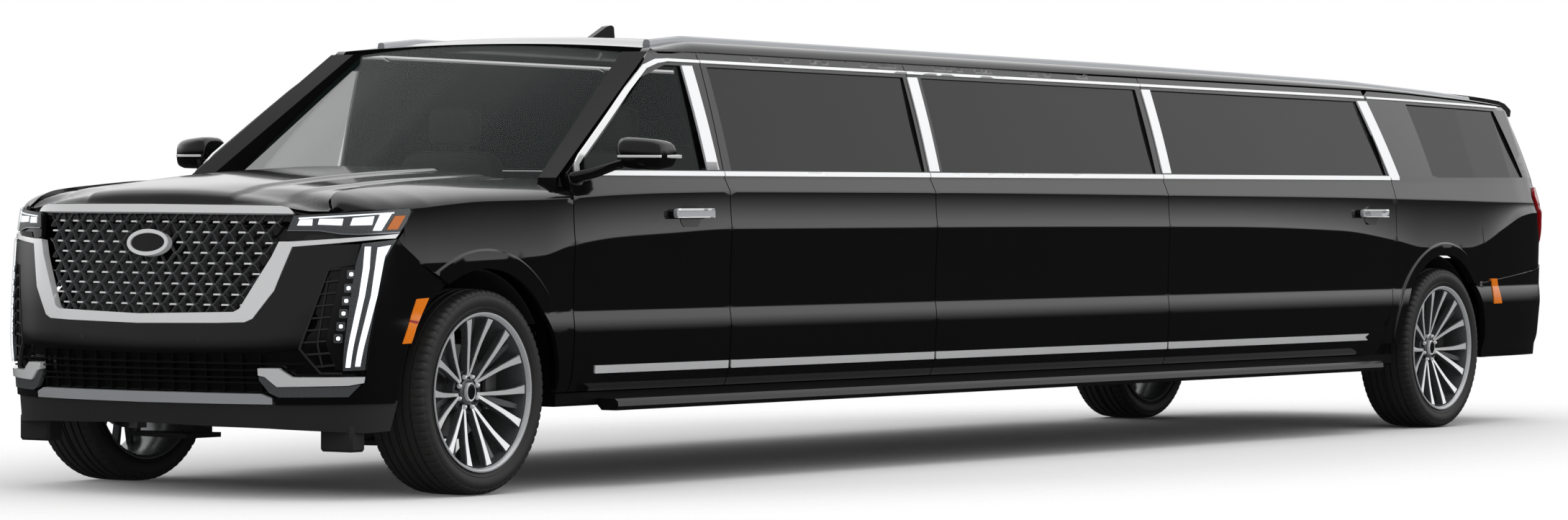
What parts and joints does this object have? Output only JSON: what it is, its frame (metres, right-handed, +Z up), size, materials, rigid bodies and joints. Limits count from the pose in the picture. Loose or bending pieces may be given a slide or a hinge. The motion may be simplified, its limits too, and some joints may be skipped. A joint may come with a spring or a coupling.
{
  "type": "stretch limousine",
  "caption": "Long black stretched SUV limousine with side doors, opening hood and tailgate, steered front wheels and a hollow cabin with lounge seats.",
  "frame": {"origin": "on the ground below the middle of the vehicle", "axes": "+X forward, +Y to the vehicle's left, +Z up"},
  "size_m": [10.5186, 2.584, 1.9313],
  "materials": {
    "paint": "deep gloss black",
    "clear_glass": "clear, faint green tint",
    "dark_glass": "privacy tint",
    "chrome": "mirror bright",
    "satin_silver": "satin",
    "black_plastic": "fine grain",
    "gloss_black": "gloss",
    "lamp_clear": "clear lens",
    "lamp_red": "red lens",
    "tyre": "ribbed rubber",
    "alloy": "machined bright",
    "chassis": "black chassis paint",
    "driveline": "dull",
    "seat_leather": "dark leather"
  },
  "bodies": {
    "body": {"ladder_frame": "chassis", "floor_pan": "chassis", "cabin_frame": "gloss_black", "windshield_frame": "gloss_black", "windshield": "clear_glass", "roof": "paint", "roof_rails": "satin_silver", "roof_antenna": "gloss_black", "side_panels": "paint", "side_glass": "dark_glass", "quarter_panels": "paint", "tail_lamps": "lamp_red", "rear_bumper": "paint", "fenders": "paint", "front_bumper": "paint", "grille_surround": "chrome", "grille": "gloss_black", "lower_grille": "black_plastic", "front_lamps": "lamp_clear", "wheel_wells": "black_plastic", "running_boards": "gloss_black", "engine_block": "driveline", "front_suspension": "chassis", "rear_axle": "driveline", "drive_shaft": "driveline", "exhaust": "satin_silver", "fuel_tank": "black_plastic", "dashboard": "black_plastic", "steering_wheel": "black_plastic", "front_seats": "seat_leather", "lounge_seats": "seat_leather"},
    "front_door_left": {"front_door_left": "paint", "front_door_glass_left": "clear_glass", "door_mirror_left": "paint"},
    "rear_door_left": {"rear_door_left": "paint", "rear_door_glass_left": "dark_glass"},
    "front_door_right": {"front_door_right": "paint", "front_door_glass_right": "clear_glass", "door_mirror_right": "paint"},
    "rear_door_right": {"rear_door_right": "paint", "rear_door_glass_right": "dark_glass"},
    "hood": {"hood": "paint"},
    "tailgate": {"tailgate": "paint", "tailgate_glass": "dark_glass"},
    "front_knuckle_left": {"front_knuckle_left": "driveline"},
    "front_wheel_left": {"front_tyre_left": "tyre", "front_rim_left": "alloy"},
    "rear_wheel_left": {"rear_tyre_left": "tyre", "rear_rim_left": "alloy"},
    "front_knuckle_right": {"front_knuckle_right": "driveline"},
    "front_wheel_right": {"front_tyre_right": "tyre", "front_rim_right": "alloy"},
    "rear_wheel_right": {"rear_tyre_right": "tyre", "rear_rim_right": "alloy"}
  },
  "joints": [
    {"name": "front_door_left_hinge", "type": "hinge", "parent": "body", "child": "front_door_left", "pos_m": [3.6925, 1, 0.73], "axis": [0, 0, -1], "range_deg": [0, 65]},
    {"name": "rear_door_left_hinge", "type": "hinge", "parent": "body", "child": "rear_door_left", "pos_m": [-1.0525, 1, 0.73], "axis": [0, 0, -1], "range_deg": [0, 65]},
    {"name": "front_door_right_hinge", "type": "hinge", "parent": "body", "child": "front_door_right", "pos_m": [3.6925, -1, 0.73], "axis": [0, 0, 1], "range_deg": [0, 65]},
    {"name": "rear_door_right_hinge", "type": "hinge", "parent": "body", "child": "rear_door_right", "pos_m": [-1.0525, -1, 0.73], "axis": [0, 0, 1], "range_deg": [0, 65]},
    {"name": "hood_hinge", "type": "hinge", "parent": "body", "child": "hood", "pos_m": [3.7865, 0, 1.225], "axis": [0, -1, 0], "range_deg": [0, 50]},
    {"name": "tailgate_hinge", "type": "hinge", "parent": "body", "child": "tailgate", "pos_m": [-4.9025, 0, 1.711], "axis": [0, 1, 0], "range_deg": [0, 80]},
    {"name": "steering_left", "type": "hinge", "parent": "body", "child": "front_knuckle_left", "pos_m": [4.3375, 0.79, 0.41], "axis": [0, 0, 1], "range_deg": [-33, 33]},
    {"name": "front_wheel_left_spin", "type": "hinge", "parent": "front_knuckle_left", "child": "front_wheel_left", "pos_m": [4.3375, 0.87, 0.41], "axis": [0, 1, 0], "continuous": true},
    {"name": "rear_wheel_left_spin", "type": "hinge", "parent": "body", "child": "rear_wheel_left", "pos_m": [-3.8125, 0.87, 0.41], "axis": [0, 1, 0], "continuous": true},
    {"name": "steering_right", "type": "hinge", "parent": "body", "child": "front_knuckle_right", "pos_m": [4.3375, -0.79, 0.41], "axis": [0, 0, 1], "range_deg": [-33, 33]},
    {"name": "front_wheel_right_spin", "type": "hinge", "parent": "front_knuckle_right", "child": "front_wheel_right", "pos_m": [4.3375, -0.87, 0.41], "axis": [0, 1, 0], "continuous": true},
    {"name": "rear_wheel_right_spin", "type": "hinge", "parent": "body", "child": "rear_wheel_right", "pos_m": [-3.8125, -0.87, 0.41], "axis": [0, 1, 0], "continuous": true}
  ],
  "couplings": [
    {"joint": "steering_right", "follows": "steering_left", "ratio": 1}
  ]
}
